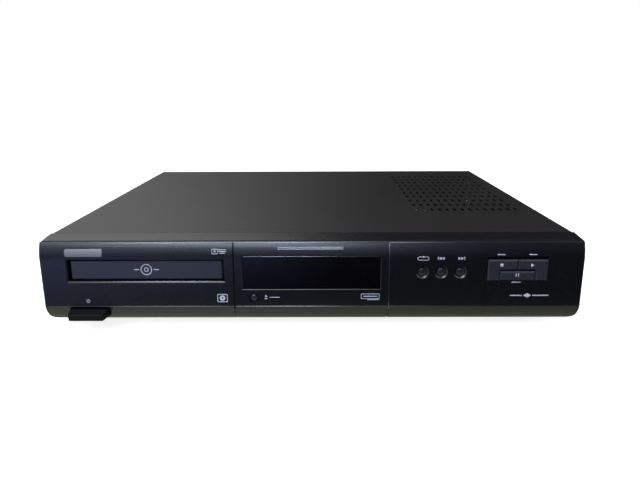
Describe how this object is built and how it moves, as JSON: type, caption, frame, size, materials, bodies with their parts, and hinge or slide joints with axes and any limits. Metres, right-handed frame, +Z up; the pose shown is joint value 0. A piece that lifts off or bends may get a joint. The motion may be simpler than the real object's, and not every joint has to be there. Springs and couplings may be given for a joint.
{
  "type": "disc player with tray",
  "caption": "Full-width hi-fi disc player with a sliding disc tray, display window, push keys, vented steel cover and rear sockets.",
  "frame": {"origin": "centre of the bounding box's underside, on the surface that the feet stand on", "axes": "+X to the right seen from the front, +Y from the front to the rear sockets, +Z up"},
  "size_m": [0.4374, 0.3346, 0.079],
  "materials": {
    "gloss_black_plastic": "satin, slightly blue black",
    "smoked_window": "clear gloss, smoked",
    "silver_plate": "brushed",
    "zinc_steel": "zinc-plated sheet",
    "black_painted_steel": "fine-grained satin black paint",
    "black_plastic": "fine matt",
    "key_plastic": "satin",
    "rubber_pad": "matt",
    "screw_black": "black oxide",
    "screw_zinc": "zinc plated",
    "tray_plastic": "fine matt dark grey",
    "loader_plastic": "matt dark grey",
    "gear_plastic": "satin natural white",
    "belt_rubber": "matt",
    "motor_steel": "plated can",
    "polished_rod": "ground and polished",
    "pickup_metal": "die cast",
    "lens_glass": "coated lens",
    "board_green": "green solder mask",
    "board_brown": "phenolic board",
    "chip_black": "moulded epoxy",
    "capacitor_sleeve": "shrink sleeve",
    "transformer_tape": "ferrite with yellow tape",
    "sink_aluminium": "extruded",
    "socket_plastic": "matt black",
    "jack_plastic": "dark moulding with plated barrels",
    "ribbon_white": "flat flexible cable",
    "tube_glass": "display tube glass",
    "switch_plastic": "matt"
  },
  "bodies": {
    "casing": {"front_moulding": "gloss_black_plastic", "display_window": "smoked_window", "name_badge": "silver_plate", "chassis_pan": "zinc_steel", "rear_panel": "black_painted_steel", "top_cover": "black_painted_steel", "foot_front_left": "black_plastic", "foot_front_right": "black_plastic", "foot_rear_left": "black_plastic", "foot_rear_right": "black_plastic", "foot_pads": "rubber_pad", "cover_screws": "screw_black", "rear_screws": "screw_black", "loader_frame": "loader_plastic", "drive_belt": "belt_rubber", "tray_motor": "motor_steel", "clamp_bridge": "zinc_steel", "loader_screws": "screw_zinc", "main_board": "board_green", "decoder_chips": "chip_black", "supply_board": "board_brown", "transformer": "transformer_tape", "capacitors": "capacitor_sleeve", "heat_sink": "sink_aluminium", "mains_choke": "transformer_tape", "mains_fuse": "tube_glass", "mains_inlet": "socket_plastic", "mains_switch": "switch_plastic", "front_board": "board_brown", "key_switches": "switch_plastic", "display_tube": "tube_glass", "ir_receiver": "chip_black", "scart_socket": "socket_plastic", "phono_jacks": "jack_plastic", "front_ribbon": "ribbon_white", "loader_ribbon": "ribbon_white", "board_screws": "screw_zinc"},
    "tray": {"disc_tray": "tray_plastic", "tray_door": "gloss_black_plastic"},
    "tray_gear": {"tray_gear": "gear_plastic"},
    "pulley": {"pulley_gear": "gear_plastic"},
    "motor_pulley": {"motor_pulley": "gear_plastic"},
    "traverse": {"traverse_plate": "zinc_steel", "spindle_motor": "motor_steel", "guide_rods": "polished_rod", "sled_motor": "motor_steel"},
    "lift_cam": {"lift_cam": "gear_plastic"},
    "turntable": {"turntable": "black_plastic"},
    "clamp": {"clamp_puck": "gear_plastic"},
    "pickup": {"pickup_sled": "pickup_metal", "pickup_lens": "lens_glass"},
    "lead_screw": {"lead_screw": "polished_rod"},
    "power_button": {"power_button": "black_plastic"},
    "key_repeat": {"key_repeat": "key_plastic"},
    "key_previous": {"key_previous": "key_plastic"},
    "key_next": {"key_next": "key_plastic"},
    "key_open_close": {"key_open_close": "key_plastic"},
    "key_stop": {"key_stop": "key_plastic"},
    "key_play": {"key_play": "key_plastic"},
    "key_pause": {"key_pause": "key_plastic"}
  },
  "joints": [
    {"name": "tray_slide", "type": "slide", "parent": "casing", "child": "tray", "axis": [0, -1, 0], "range_m": [0, 0.14]},
    {"name": "tray_gear_spin", "type": "hinge", "parent": "casing", "child": "tray_gear", "pos_m": [-0.1787, -0.12105, 0.045], "axis": [0, 0, 1], "range_deg": [0, 805]},
    {"name": "pulley_spin", "type": "hinge", "parent": "casing", "child": "pulley", "pos_m": [-0.1595, -0.12105, 0.04], "axis": [0, 0, 1], "range_deg": [-2409, 0]},
    {"name": "motor_pulley_spin", "type": "hinge", "parent": "casing", "child": "motor_pulley", "pos_m": [-0.1175, -0.12105, 0.039], "axis": [0, 0, 1], "range_deg": [-7574, 0]},
    {"name": "traverse_tilt", "type": "hinge", "parent": "casing", "child": "traverse", "pos_m": [-0.1335, 0.01998, 0.04265], "axis": [1, 0, 0], "range_deg": [0, 5]},
    {"name": "lift_cam_slide", "type": "slide", "parent": "casing", "child": "lift_cam", "axis": [1, 0, 0], "range_m": [0, 0.02]},
    {"name": "turntable_spin", "type": "hinge", "parent": "traverse", "child": "turntable", "pos_m": [-0.1335, -0.08202, 0.05965], "axis": [0, 0, 1], "continuous": true},
    {"name": "clamp_spin", "type": "hinge", "parent": "casing", "child": "clamp", "pos_m": [-0.1335, -0.08202, 0.06315], "axis": [0, 0, 1], "continuous": true},
    {"name": "pickup_slide", "type": "slide", "parent": "traverse", "child": "pickup", "axis": [0, 1, 0], "range_m": [0, 0.033]},
    {"name": "lead_screw_spin", "type": "hinge", "parent": "traverse", "child": "lead_screw", "pos_m": [-0.1005, -0.06202, 0.04825], "axis": [0, 1, 0], "continuous": true},
    {"name": "power_button_push", "type": "slide", "parent": "casing", "child": "power_button", "axis": [0, 1, 0], "range_m": [0, 0.0035], "stiffness_N_per_m": 400},
    {"name": "key_repeat_push", "type": "slide", "parent": "casing", "child": "key_repeat", "axis": [0, 1, 0], "range_m": [0, 0.0008], "stiffness_N_per_m": 300},
    {"name": "key_previous_push", "type": "slide", "parent": "casing", "child": "key_previous", "axis": [0, 1, 0], "range_m": [0, 0.0008], "stiffness_N_per_m": 300},
    {"name": "key_next_push", "type": "slide", "parent": "casing", "child": "key_next", "axis": [0, 1, 0], "range_m": [0, 0.0008], "stiffness_N_per_m": 300},
    {"name": "key_open_close_push", "type": "slide", "parent": "casing", "child": "key_open_close", "axis": [0, 1, 0], "range_m": [0, 0.0008], "stiffness_N_per_m": 300},
    {"name": "key_stop_push", "type": "slide", "parent": "casing", "child": "key_stop", "axis": [0, 1, 0], "range_m": [0, 0.0008], "stiffness_N_per_m": 300},
    {"name": "key_play_push", "type": "slide", "parent": "casing", "child": "key_play", "axis": [0, 1, 0], "range_m": [0, 0.0008], "stiffness_N_per_m": 300},
    {"name": "key_pause_push", "type": "slide", "parent": "casing", "child": "key_pause", "axis": [0, 1, 0], "range_m": [0, 0.0008], "stiffness_N_per_m": 300}
  ],
  "couplings": [
    {"joint": "tray_gear_spin", "follows": "tray_slide", "rad_per_m": 100},
    {"joint": "pulley_spin", "follows": "tray_slide", "rad_per_m": -300},
    {"joint": "motor_pulley_spin", "follows": "tray_slide", "rad_per_m": -943.9},
    {"joint": "lift_cam_slide", "follows": "traverse_tilt", "m_per_rad": 0.22918},
    {"joint": "lead_screw_spin", "follows": "pickup_slide", "rad_per_m": 2094.4}
  ]
}
